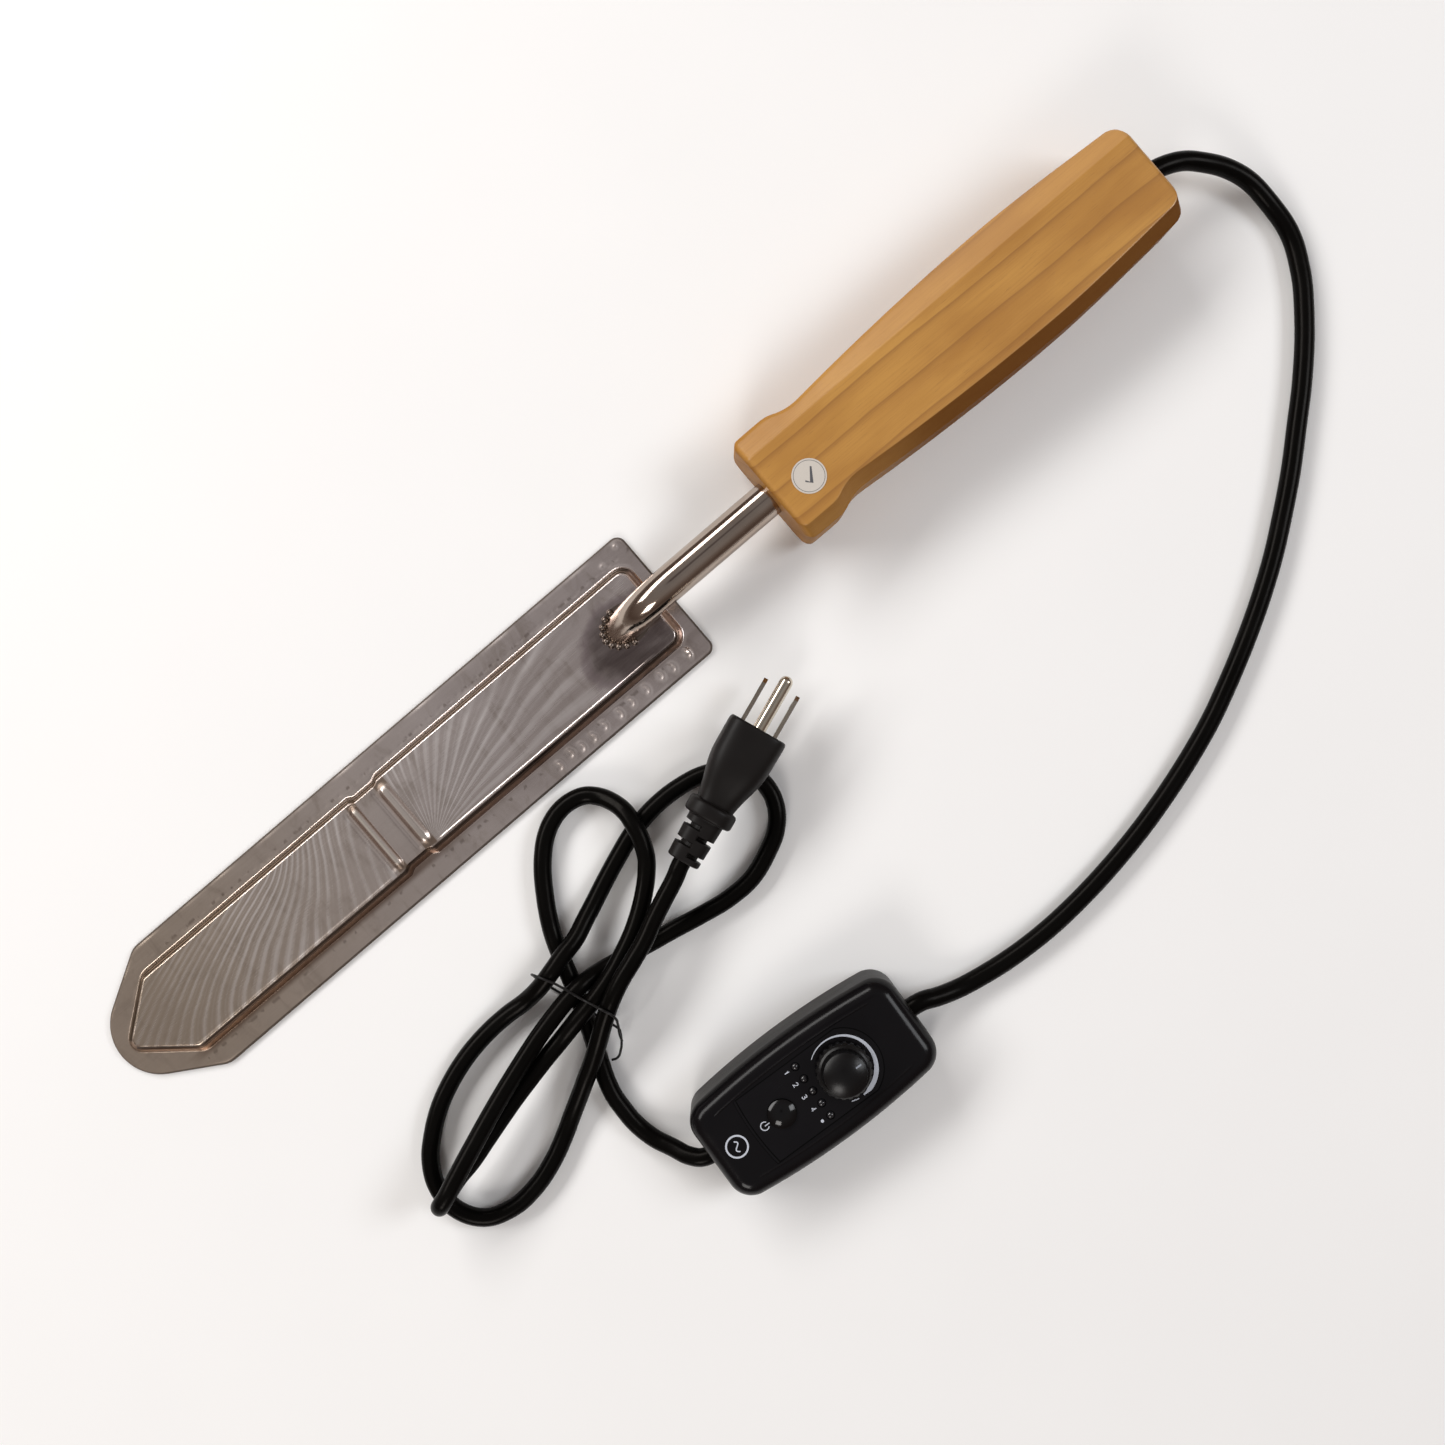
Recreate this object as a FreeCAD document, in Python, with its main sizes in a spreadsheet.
import FreeCAD, Part
import math
import os
import Sketcher
from FreeCAD import Placement, Rotation, Vector

# Electric uncapping knife for beekeeping, with its cord, control box and plug.
#
# The origin is the centre of the blade's flat underside.  +Z is up and +X runs along the
# knife from the blade's point to the butt of the handle.  Everything rests on or just
# above the plane z = 0.  Millimetres and degrees throughout.

os.makedirs("parts", exist_ok=True)
doc = FreeCAD.newDocument("uncapping_knife")

# ---------------------------------------------------------------- sizes ----
SIZES = {
    # blade: a flat plate with a long tapered point
    "blade_length": 256.0, "blade_half_width": 27.0, "blade_thickness": 1.0,
    "blade_corner_radius": 3.5, "taper_length": 28.0, "taper_half_angle": 31.0,
    "shoulder_radius": 8.0, "edge_bevel": 0.7,
    # pressed sheet cover over the heater
    "sheet_thickness": 0.8, "flange_inset": 1.2, "pan_half_width": 18.2,
    "pan_shoulder_x": -103.0, "pan_rear_x": 123.3, "pan_half_angle": 39.0,
    "pan_tip_radius": 2.0, "pan_corner_radius": 6.0, "pan_draft_side": 2.4,
    "pan_draft_rear": 3.5, "pan_top_z": 6.3, "bead_width": 4.0,
    "bead_height": 1.3, "bead_front_x": -6.7, "bead_rear_x": 6.2, "bead_length": 26.0,
    # heater sandwich
    "heater_half_width": 13.8, "heater_shoulder_x": -99.0, "heater_rear_x": 97.0,
    "mica_thickness": 0.5, "core_thickness": 0.8, "ribbon_thickness": 0.2,
    "core_half_width": 12.0, "ribbon_pitch": 9.0, "ribbon_width": 2.0,
    # neck tube
    "tube_radius": 6.35, "tube_wall": 1.0, "tube_foot_x": 109.0, "tube_angle": 47.0,
    "tube_bend_radius": 24.0, "handle_axis_z": 18.0, "tube_end_x": 235.0,
    # turned and flatted wooden handle
    "handle_front_x": 175.3, "handle_guard_x": 191.0, "handle_waist_x": 201.0,
    "handle_swell_x": 287.7, "handle_butt_x": 348.5, "swell_half_width": 22.2,
    "handle_thickness": 30.0, "guard_arc_radius": 19.0, "swell_arc_radius": 942.0,
    "butt_corner_radius": 6.0, "guard_corner_radius": 2.5, "handle_edge_radius": 4.0,
    "handle_bore_radius": 6.4, "handle_bore_end_x": 310.0,
    "sticker_radius": 6.0, "sticker_thickness": 0.15,
    # cords
    "handle_cord_radius": 3.45, "power_cord_radius": 3.25, "core_wire_radius": 0.9,
    "cord_fit": 0.05,
    # control box
    "box_length": 86.0, "box_mid_half_width": 21.4, "box_side_radius": 288.0,
    "box_corner_radius": 8.7, "box_wall": 2.0, "split_height": 11.0,
    "box_height": 24.0, "crown_radius": 6.0, "entry_z": 9.5,
    "film_half_width": 13.0, "film_left_x": -24.8, "film_arc_radius": 14.0,
    "film_depth": 0.4, "film_thickness": 0.3, "knob_x": 12.4, "knob_radius": 9.7,
    "knob_base_z": 24.6, "knob_top_z": 35.6, "shaft_radius": 3.0,
    "bushing_radius": 3.5, "button_x": -13.6, "button_radius": 5.0,
    "led_x": -0.5, "led_pitch": 5.13, "led_radius": 1.45, "board_z": 12.0,
    "board_thickness": 1.6, "board_length": 60.0, "board_width": 35.0,
    "post_x": 34.3, "post_y": 10.65, "standoff_x": 26.5, "standoff_y": 13.5,
    # plug
    "plug_width": 22.0, "plug_height": 22.0, "plug_corner_radius": 8.0,
    "plug_body_length": 22.4, "plug_taper_length": 7.6, "collar_radius": 9.0,
    "collar_length": 6.0, "relief_radius": 5.6, "relief_end_radius": 4.9,
    "relief_length": 16.6, "blade_pitch": 12.7, "prong_width": 6.35,
    "prong_thickness": 1.5, "prong_length": 16.5, "ground_radius": 2.38,
    "ground_tail_radius": 2.0, "ground_length": 20.5, "ground_above_blades": 11.9,
    "prong_z": -5.4,
}
sheet = doc.addObject("Spreadsheet::Sheet", "Sizes")
for row, (alias, number) in enumerate(SIZES.items(), start=1):
    sheet.set("A%d" % row, alias)
    sheet.set("B%d" % row, str(number))
    sheet.setAlias("B%d" % row, alias)
doc.recompute()


class Driven:
    """A number together with the spreadsheet expression that gives it."""

    def __init__(self, value, text):
        self.value = float(value)
        self.text = text

    @staticmethod
    def of(x):
        return x if isinstance(x, Driven) else Driven(x, "(%.6f)" % x)

    def __add__(self, other):
        other = Driven.of(other)
        return Driven(self.value + other.value, "(%s + %s)" % (self.text, other.text))

    __radd__ = __add__

    def __sub__(self, other):
        other = Driven.of(other)
        return Driven(self.value - other.value, "(%s - %s)" % (self.text, other.text))

    def __rsub__(self, other):
        return Driven.of(other) - self

    def __mul__(self, other):
        other = Driven.of(other)
        return Driven(self.value * other.value, "(%s * %s)" % (self.text, other.text))

    __rmul__ = __mul__

    def __truediv__(self, other):
        other = Driven.of(other)
        return Driven(self.value / other.value, "(%s / %s)" % (self.text, other.text))

    def __neg__(self):
        return Driven(-self.value, "(0 - %s)" % self.text)


class Table:
    """The entries of a dictionary as attributes."""

    def __init__(self, entries):
        self.__dict__.update(entries)


# each driving dimension: num.alias is its plain number, size.alias is tied to the sheet
num = Table(SIZES)
size = Table({key: Driven(value, "Sizes." + key) for key, value in SIZES.items()})


def trig(function, angle):
    value = getattr(math, function)(math.radians(angle.value))
    return Driven(value, "%s(%s * 1 deg)" % (function, angle.text))


def root(square):
    return Driven(math.sqrt(square.value), "sqrt(%s)" % square.text)


def bind(obj, prop, amount):
    """Set a property and tie it to the sheet."""
    amount = Driven.of(amount)
    setattr(obj, prop, amount.value)
    obj.setExpression(prop, amount.text)


# ------------------------------------------------------ frames and nodes ----
KNIFE = Placement()
# the control box stands on the table, turned a little clockwise
BOX = Placement(Vector(54.65, -164.4, 0), Rotation(Vector(0, 0, 1), -4.2))
# the plug: local +x runs along the prongs, the front face is at x = 0
PLUG = Placement(Vector(120.57, -58.30, 18.5), Rotation(Vector(0, 0, 1), 19.5))

NODES = {}


def register(name, obj):
    """Label a finished sub-part and list it for export."""
    obj.Label = name
    NODES[name] = obj


def piece(build):
    """Decorator: build the sub-part at once and register it under the function's name."""
    register(build.__name__, build())
    return build


def shifted(frame, x, y=0, z=0):
    return frame.multiply(Placement(Vector(x, y, z), Rotation()))


# -------------------------------------------------------------- sketches ----
def body(name, frame=KNIFE):
    part = doc.addObject("PartDesign::Body", name.title().replace("_", ""))
    part.Label = name
    part.Placement = frame
    return part


def empty_sketch(part, name, role, offset):
    sk = part.newObject("Sketcher::SketchObject", name)
    plane = [f for f in part.Origin.OriginFeatures if f.Role == role][0]
    sk.AttachmentSupport = [(plane, "")]
    sk.MapMode = "FlatFace"
    if offset is not None:
        offset = Driven.of(offset)
        sk.AttachmentOffset = Placement(Vector(0, 0, offset.value), Rotation())
        sk.setExpression("AttachmentOffset.Base.z", offset.text)
    return sk


def constrain(sk, amount, *what):
    index = sk.addConstraint(Sketcher.Constraint(*what, amount.value))
    sk.setExpression("Constraints[%d]" % index, amount.text)


def pin(sk, geometry, end, x, y):
    """Hold a point at x, y; a zero coordinate puts it on the axis itself."""
    for kind, axis, place in (("DistanceX", -2, x), ("DistanceY", -1, y)):
        place = Driven.of(place)
        if abs(place.value) < 1e-9:
            sk.addConstraint(Sketcher.Constraint("PointOnObject", geometry, end, axis))
        else:
            constrain(sk, place, kind, -1, 1, geometry, end)


def sketch(part, name, points, role="XY_Plane", offset=None):
    """Closed outline.  Each point is (x, y) or (x, y, radius, side): the latter starts an
    arc to the next point, side +1 with its centre on the left."""
    sk = empty_sketch(part, name, role, offset)
    pieces = []
    for here, there in zip(points, points[1:] + points[:1]):
        ax, ay = (Driven.of(v).value for v in here[:2])
        bx, by = (Driven.of(v).value for v in there[:2])
        if len(here) == 2:
            line = Part.LineSegment(Vector(ax, ay, 0), Vector(bx, by, 0))
            pieces.append((sk.addGeometry(line, False), 1, 2, None))
            continue
        radius, side = Driven.of(here[2]), here[3]
        dx, dy = bx - ax, by - ay
        chord = math.hypot(dx, dy)
        reach = math.sqrt(max(radius.value ** 2 - (chord / 2.0) ** 2, 0.0)) / chord
        cx = (ax + bx) / 2.0 - side * dy * reach
        cy = (ay + by) / 2.0 + side * dx * reach
        circle = Part.Circle(Vector(cx, cy, 0), Vector(0, 0, 1), radius.value)
        start = math.atan2(ay - cy, ax - cx)
        stop = math.atan2(by - cy, bx - cx)
        if side < 0:
            start, stop = stop, start
        if stop < start:
            stop += 2 * math.pi
        arc = sk.addGeometry(Part.ArcOfCircle(circle, start, stop), False)
        pieces.append((arc, 1, 2, radius) if side > 0 else (arc, 2, 1, radius))
    for here, there in zip(pieces, pieces[1:] + pieces[:1]):
        sk.addConstraint(Sketcher.Constraint("Coincident", here[0], here[2],
                                             there[0], there[1]))
    for (geometry, start, _, radius), point in zip(pieces, points):
        pin(sk, geometry, start, point[0], point[1])
        if radius is not None:
            constrain(sk, radius, "Radius", geometry)
    return sk


def circle_sketch(part, name, circles, role="XY_Plane", offset=None):
    """Sketch of full circles, each (x, y, radius)."""
    sk = empty_sketch(part, name, role, offset)
    for circle in circles:
        x, y, radius = map(Driven.of, circle)
        shape = Part.Circle(Vector(x.value, y.value, 0), Vector(0, 0, 1), radius.value)
        geometry = sk.addGeometry(shape, False)
        pin(sk, geometry, 3, x, y)
        constrain(sk, radius, "Radius", geometry)
    return sk


def rectangle(x0, y0, x1, y1):
    return [(x0, y0), (x1, y0), (x1, y1), (x0, y1)]


# ------------------------------------------------------- body operations ----
def pad(part, name, profile, length, mid=False):
    feat = part.newObject("PartDesign::Pad", name)
    feat.Profile = profile
    bind(feat, "Length", length)
    if mid:
        feat.Midplane = True
    doc.recompute()


def pocket(part, name, profile, length, reverse=False):
    before = part.Shape.Volume
    feat = part.newObject("PartDesign::Pocket", name)
    feat.Profile = profile
    bind(feat, "Length", length)
    feat.Reversed = reverse
    doc.recompute()
    if not part.Shape.Volume < before - 1e-3:
        raise RuntimeError("pocket %s removed nothing" % name)
    return feat


def loft(part, kind, name, first, second):
    before = part.Shape.Volume
    feat = part.newObject("PartDesign::" + kind, name)
    feat.Profile = first
    feat.Sections = [second]
    feat.Ruled = True
    doc.recompute()
    if abs(part.Shape.Volume - before) < 1e-3:
        raise RuntimeError("loft %s did nothing" % name)


def revolve(part, name, profile):
    """Full turn about the sketch's vertical axis."""
    feat = part.newObject("PartDesign::Revolution", name)
    feat.Profile = profile
    feat.ReferenceAxis = (profile, ["V_Axis"])
    feat.Angle = 360.0
    doc.recompute()


def dress(part, kind, name, test, amount):
    """Fillet or chamfer the edges whose bounding box passes the test."""
    tip = part.Tip
    names = ["Edge%d" % i for i, e in enumerate(tip.Shape.Edges, start=1)
             if test(e.BoundBox)]
    if not names:
        raise RuntimeError("no edges for %s" % name)
    feat = part.newObject("PartDesign::" + kind, name)
    feat.Base = (tip, names)
    bind(feat, "Radius" if kind == "Fillet" else "Size", amount)
    doc.recompute()


def near(a, b, tolerance=1e-4):
    return abs(a - b) < tolerance


# ------------------------------------------------------- loose primitives ----
def place(obj, frame, x, y, z, rotation=Rotation()):
    base = Vector(*(Driven.of(v).value for v in (x, y, z)))
    obj.Placement = frame.multiply(Placement(base, rotation))
    return obj


def block(name, frame, x, y, z, dx, dy, dz):
    obj = doc.addObject("Part::Box", name)
    bind(obj, "Length", dx)
    bind(obj, "Width", dy)
    bind(obj, "Height", dz)
    return place(obj, frame, x, y, z)


def cylinder(name, frame, x, y, z, radius, length, axis=(0, 0, 1)):
    obj = doc.addObject("Part::Cylinder", name)
    bind(obj, "Radius", radius)
    bind(obj, "Height", length)
    return place(obj, frame, x, y, z, Rotation(Vector(0, 0, 1), Vector(*axis)))


def ball(name, frame, x, y, z, radius):
    obj = doc.addObject("Part::Sphere", name)
    bind(obj, "Radius", radius)
    return place(obj, frame, x, y, z)


def fuse(name, shapes):
    obj = doc.addObject("Part::MultiFuse", name)
    obj.Shapes = shapes
    doc.recompute()
    return obj


def cut(name, base, tool):
    before = base.Shape.Volume
    obj = doc.addObject("Part::Cut", name)
    obj.Base = base
    obj.Tool = tool
    doc.recompute()
    if not obj.Shape.Volume < before - 1e-4:
        raise RuntimeError("cut %s removed nothing" % name)
    return obj


def group(name, objs):
    obj = doc.addObject("Part::Compound", name)
    obj.Links = objs
    doc.recompute()
    return obj


def feature(name, shape):
    obj = doc.addObject("Part::Feature", name)
    obj.Shape = shape
    obj.Placement = KNIFE
    return obj


# ------------------------------------------------------------ round rods ----
STRAIGHT_RADIUS = 20000  # an arc flatter than this is drawn as a straight length


def arc_to(p, t, q):
    """The arc that leaves p along t and ends at q: centre, axis, angle, end direction."""
    chord = q - p
    m = chord - t * chord.dot(t)
    if m.Length < 1e-6 * max(chord.Length, 1e-9):
        return None, None, 0.0, Vector(t)
    m.normalize()
    radius = chord.dot(chord) / (2 * chord.dot(m))
    angle = 2 * math.atan2(chord.dot(m), chord.dot(t))
    if radius > STRAIGHT_RADIUS:
        return None, None, 0.0, Vector(t)
    return p + m * radius, t.cross(m), angle, t * math.cos(angle) + m * math.sin(angle)


def biarc_joint(p, q, a, b):
    """The point where two arcs meet, leaving p along a and reaching q along b."""
    v, s = q - p, a + b
    h = 2 * (1 - a.dot(b))
    if h < 1e-9:
        d = v.dot(v) / (2 * v.dot(s))
    else:
        d = (math.sqrt(v.dot(s) ** 2 + h * v.dot(v)) - v.dot(s)) / h
    return (p + a * d + q - b * d) * 0.5


def sweep(points, radius, first=1, last=1, ends=None):
    """Round rod of cylinder and torus lengths, tangent to one another: straight over the
    first and last points named, a pair of arcs between each two of the rest."""
    pts = [Vector(*p) for p in points]
    mid = pts[first - 1:len(pts) - last + 1]
    t0, t1 = mid[1] - mid[0], mid[-1] - mid[-2]
    if ends:
        t0, t1 = Vector(*ends[0]), Vector(*ends[1])
    if first > 1:
        t0 = pts[first - 1] - pts[0]
    if last > 1:
        t1 = pts[-1] - pts[-last]
    t0.normalize()
    t1.normalize()
    along = [t0]
    for p, q, r in zip(mid, mid[1:], mid[2:]):
        u, v = q - p, r - q
        tangent = u * (v.Length / u.Length) + v * (u.Length / v.Length)
        tangent.normalize()
        along.append(tangent)
    along.append(t1)
    stops = [pts[0]] if first > 1 else []
    for p, q, a, b in zip(mid, mid[1:], along, along[1:]):
        stops += [p, biarc_joint(p, q, a, b)]
    stops.append(mid[-1])
    if last > 1:
        stops.append(pts[-1])
    # t is the running direction, x the seam direction carried along square to it
    t = Vector(t0)
    x = t.cross(Vector(0, 0, 1))
    x.normalize()

    def ring(p):
        y = t.cross(x)
        edge = Part.makeCircle(radius)
        edge.Placement = Placement(FreeCAD.Matrix(x.x, y.x, t.x, p.x, x.y, y.y, t.y, p.y,
                                                  x.z, y.z, t.z, p.z, 0, 0, 0, 1))
        return edge

    faces = [Part.Face(Part.Wire(ring(stops[0])))]
    for p, q in zip(stops, stops[1:]):
        centre, axis, angle, t_end = arc_to(p, t, q)
        if centre is None:
            faces.append(ring(p).extrude(q - p))
        else:
            faces.append(ring(p).revolve(centre, axis, math.degrees(angle)))
            t = t_end
            x = Rotation(axis, math.degrees(angle)).multVec(x)
            x = x - t * x.dot(t)
            x.normalize()
            t.normalize()
    faces.append(Part.Face(Part.Wire(ring(stops[-1]))))
    shell = Part.makeCompound(faces)
    shell.sewShape(1e-5)
    solid = Part.Solid(shell.Shells[0])
    if solid.Volume < 0:
        solid.reverse()
    return solid


# ---------------------------------------------------------------- blade ----
def pointed_outline(rear_x, half_width, corner_r, shoulder_x, shoulder_r, angle, tip_x,
                    tip_r):
    """Rounded rear corners, straight sides and a taper to a round tip centred at tip_x."""
    run = shoulder_r * trig("tan", angle / 2)
    taper_x, taper_y = (shoulder_x - run * trig("cos", angle),
                        half_width - run * trig("sin", angle))
    round_x, round_y = tip_x - tip_r * trig("sin", angle), tip_r * trig("cos", angle)
    corner_y = half_width - corner_r
    return [(rear_x, -corner_y), (rear_x, corner_y, corner_r, 1),
            (rear_x - corner_r, half_width), (shoulder_x + run, half_width, shoulder_r, 1),
            (taper_x, taper_y), (round_x, round_y, tip_r, 1),
            (round_x, -round_y), (taper_x, -taper_y, shoulder_r, 1),
            (shoulder_x + run, -half_width), (rear_x - corner_r, -half_width, corner_r, 1)]


def blade_outline(inset):
    angle = size.taper_half_angle
    half_length = size.blade_length / 2
    # the round tip touches both tapered edges
    tip_r = ((size.blade_half_width * trig("cos", angle)
              - trig("sin", angle) * size.taper_length) / (1 - trig("sin", angle)))
    shoulder_x = size.taper_length - half_length + inset * trig("tan", angle / 2)
    return pointed_outline(half_length - inset, size.blade_half_width - inset,
                           size.blade_corner_radius, shoulder_x, size.shoulder_radius,
                           angle, tip_r - half_length, tip_r - inset)


PAN_SHOULDER_RADIUS = Driven.of(6.0)


def pan_outline(half_width, shoulder_x, rear_x, corner_r):
    """Plan of the raised pan, also used for the sheets of the heater inside it."""
    angle, tip_r = size.pan_half_angle, size.pan_tip_radius
    apex_x = shoulder_x - half_width / trig("tan", angle)
    return pointed_outline(rear_x, half_width, corner_r, shoulder_x, PAN_SHOULDER_RADIUS,
                           angle, apex_x + tip_r / trig("sin", angle), tip_r)


@piece
def blade_plate():
    """Flat heated plate with ground edges."""
    part = body("blade_plate")
    pad(part, "Plate", sketch(part, "PlateOutline", blade_outline(0)), size.blade_thickness)
    top = num.blade_thickness
    dress(part, "Chamfer", "GroundEdges",
          lambda bb: near(bb.ZMin, top) and near(bb.ZMax, top), size.edge_bevel)
    return part


# the neck tube's sloping axis starts this far below the foot, measured along it
TUBE_ROOT = 9.0
slope = math.radians(num.tube_angle)
TUBE_AXIS = Vector(math.cos(slope), 0, math.sin(slope))
TUBE_START = Vector(num.tube_foot_x, 0, num.pan_top_z) - TUBE_AXIS * TUBE_ROOT


@piece
def blade_cover():
    """Pressed cover: a flange on the plate and a raised hollow pan, pierced by the tube."""
    part = body("blade_cover_blank")
    floor, wall, top = size.blade_thickness, size.sheet_thickness, size.pan_top_z
    pad(part, "Flange", sketch(part, "FlangeOutline", blade_outline(size.flange_inset),
                               offset=floor), wall)
    top_width = size.pan_half_width - size.pan_draft_side
    top_shoulder = (size.pan_shoulder_x
                    + size.pan_draft_side * trig("tan", size.pan_half_angle / 2))
    top_rear = size.pan_rear_x - size.pan_draft_rear
    top_corner = size.pan_corner_radius - 1.5
    # inset from the pan's sides and rear, then shift of the shoulder
    for kind, name, low_z, high_z, inset, shift in (
            ("AdditiveLoft", "Pan", floor + wall, top, 0, 0),
            ("SubtractiveLoft", "Cavity", floor, top - wall, 0.5, 0.18)):
        low = sketch(part, name + "Base", pan_outline(
            size.pan_half_width - inset, size.pan_shoulder_x + shift,
            size.pan_rear_x - inset, size.pan_corner_radius - inset), offset=low_z)
        high = sketch(part, name + "Top", pan_outline(
            top_width - inset, top_shoulder + shift, top_rear - inset,
            top_corner - inset), offset=high_z)
        loft(part, kind, name, low, high)
    # two stiffening beads across the middle of the pan
    half, rise = size.bead_width / 2, size.bead_height
    radius = (half * half + rise * rise) / (2 * rise)
    for name, x in (("FrontBead", size.bead_front_x), ("RearBead", size.bead_rear_x)):
        arc = sketch(part, name + "Arc", [(x - half, top), (x + half, top, radius, 1)],
                     "XZ_Plane")
        pad(part, name, arc, size.bead_length, mid=True)
    hole = cylinder("TubeHole", KNIFE, *TUBE_START, size.tube_radius + 0.02, 24.0, TUBE_AXIS)
    return cut("BladeCover", part, hole)


# --------------------------------------------------------------- heater ----
# undersides of the layers, from the plate upwards
LOWER_MICA_Z = size.blade_thickness
LOWER_RIBBON_Z = LOWER_MICA_Z + size.mica_thickness
CORE_Z = LOWER_RIBBON_Z + size.ribbon_thickness
UPPER_RIBBON_Z = CORE_Z + size.core_thickness
UPPER_MICA_Z = UPPER_RIBBON_Z + size.ribbon_thickness
PAD_Z = UPPER_MICA_Z + size.mica_thickness


def heater_sheet(name, bottom, top):
    part = body(name)
    outline = pan_outline(size.heater_half_width, size.heater_shoulder_x,
                          size.heater_rear_x, Driven.of(2.0))
    pad(part, "Thickness", sketch(part, "Sheet", outline, offset=bottom), top - bottom)
    register(name, part)


heater_sheet("heater_mica_lower", LOWER_MICA_Z, LOWER_RIBBON_Z)
heater_sheet("heater_mica_upper", UPPER_MICA_Z, PAD_Z)
heater_sheet("insulation_pad", PAD_Z, size.pan_top_z - size.sheet_thickness)


@piece
def heater_core():
    part = body("heater_core")
    front_x, rear_x, half = -96.0, 92.0, size.core_half_width
    outline = sketch(part, "CoreOutline", rectangle(front_x, -half, rear_x, half),
                     offset=CORE_Z)
    pad(part, "CoreSheet", outline, UPPER_RIBBON_Z - CORE_Z)
    return part


@piece
def heater_ribbon():
    """Resistance ribbon wound round the core, with a tail strip along each side."""
    turns, first_x = 20, -90.0
    tail_reach, tail_width = 1.4, 0.8
    width, thick, pitch = num.ribbon_width, num.ribbon_thickness, num.ribbon_pitch
    inner_y = num.core_half_width
    outer_y = inner_y + thick
    low, high, top = LOWER_RIBBON_Z.value, UPPER_RIBBON_Z.value, UPPER_MICA_Z.value
    tail_z = CORE_Z.value + 0.3
    strips = []

    def strip(x, y, z, dx, dy, dz):
        strips.append(Part.makeBox(dx, dy, dz, Vector(x, y, z)))

    for k in range(turns):
        x = first_x + k * pitch - width / 2
        strip(x, -outer_y, high, width, 2 * outer_y, thick)
        strip(x, inner_y, low, width, thick, top - low)
        if k < turns - 1:
            # slanting run under the core to the next turn
            x_next = x + pitch
            corners = [Vector(x, outer_y, low), Vector(x + width, outer_y, low),
                       Vector(x_next + width, -outer_y, low), Vector(x_next, -outer_y, low)]
            face = Part.Face(Part.makePolygon(corners + corners[:1]))
            strips.append(face.extrude(Vector(0, 0, thick)))
            strip(x_next, -outer_y, low, width, thick, top - low)
    start = first_x - width / 2
    tail_y = -outer_y - tail_reach + thick / 2
    strip(start, -outer_y, tail_z, width, thick, top - tail_z)
    strip(start, tail_y, tail_z, width, tail_reach, thick)
    strip(start, tail_y, tail_z, num.heater_rear_x - first_x + width / 2, tail_width, thick)
    last_x = first_x + (turns - 1) * pitch
    start = last_x - width / 2
    tail_y = outer_y - thick / 2
    strip(start, tail_y, tail_z, width, tail_reach, thick)
    strip(start, tail_y + tail_reach - tail_width, tail_z,
          num.heater_rear_x - last_x + width / 2, tail_width, thick)
    return feature("HeaterRibbon", strips[0].multiFuse(strips[1:]).removeSplitter())


# ------------------------------------------------------------ neck tube ----
def bent_rod(radius, end_x):
    """Solid rod along the tube's axis: up the slope, round the bend, level to end_x."""
    bend, axis_z = num.tube_bend_radius, num.handle_axis_z
    bend_z = axis_z - bend
    start_z = bend_z + bend * math.cos(slope)
    start_x = num.tube_foot_x + (start_z - num.pan_top_z) / math.tan(slope)
    level_x = start_x + bend * math.sin(slope)
    bend_start = Vector(start_x, 0, start_z)
    bend_mid = Vector(level_x - bend * math.sin(slope / 2), 0,
                      bend_z + bend * math.cos(slope / 2))
    bend_end = Vector(level_x, 0, axis_z)
    spine = Part.Wire([Part.LineSegment(TUBE_START, bend_start).toShape(),
                       Part.Arc(bend_start, bend_mid, bend_end).toShape(),
                       Part.LineSegment(bend_end, Vector(end_x, 0, axis_z)).toShape()])
    ring = Part.Wire(Part.makeCircle(radius, TUBE_START, TUBE_AXIS))
    return spine.makePipeShell([ring], True, False)


@piece
def neck_tube():
    under_pan = num.pan_top_z - num.sheet_thickness
    keep = Part.makeBox(300, 40, 60, Vector(60, -20, under_pan))
    outer = bent_rod(num.tube_radius, num.tube_end_x)
    inner = bent_rod(num.tube_radius - num.tube_wall, num.tube_end_x + 1.0)
    tube = outer.cut(inner).common(keep)
    return feature("NeckTube", max(tube.Solids, key=lambda s: s.Volume))


@piece
def neck_weld():
    """Low collar round the tube's foot, with weld beads on its front side."""
    foot_x, top_z = num.tube_foot_x, num.pan_top_z
    half_x, half_y = num.tube_radius / TUBE_AXIS.z, num.tube_radius
    collar_width, bead_out = 1.1, 0.55
    ellipse = Part.Ellipse(Vector(foot_x, 0, top_z), half_x + collar_width,
                           half_y + collar_width)
    collar = Part.Face(Part.Wire(ellipse.toShape())).extrude(Vector(0, 0, 0.7))
    beads = []
    for k in range(9):
        turn = math.radians(100 + k * 20)
        centre = Vector(foot_x + (half_x + bead_out) * math.cos(turn),
                        (half_y + bead_out) * math.sin(turn), top_z + 0.5)
        beads.append(Part.makeSphere(1.25, centre))
    above = Part.makeBox(60, 40, 20, Vector(90, -20, top_z))
    weld = collar.multiFuse(beads).common(above)
    weld = weld.cut(bent_rod(num.tube_radius + 0.001, 160.0))
    return feature("NeckWeld", max(weld.Solids, key=lambda s: s.Volume))


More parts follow.
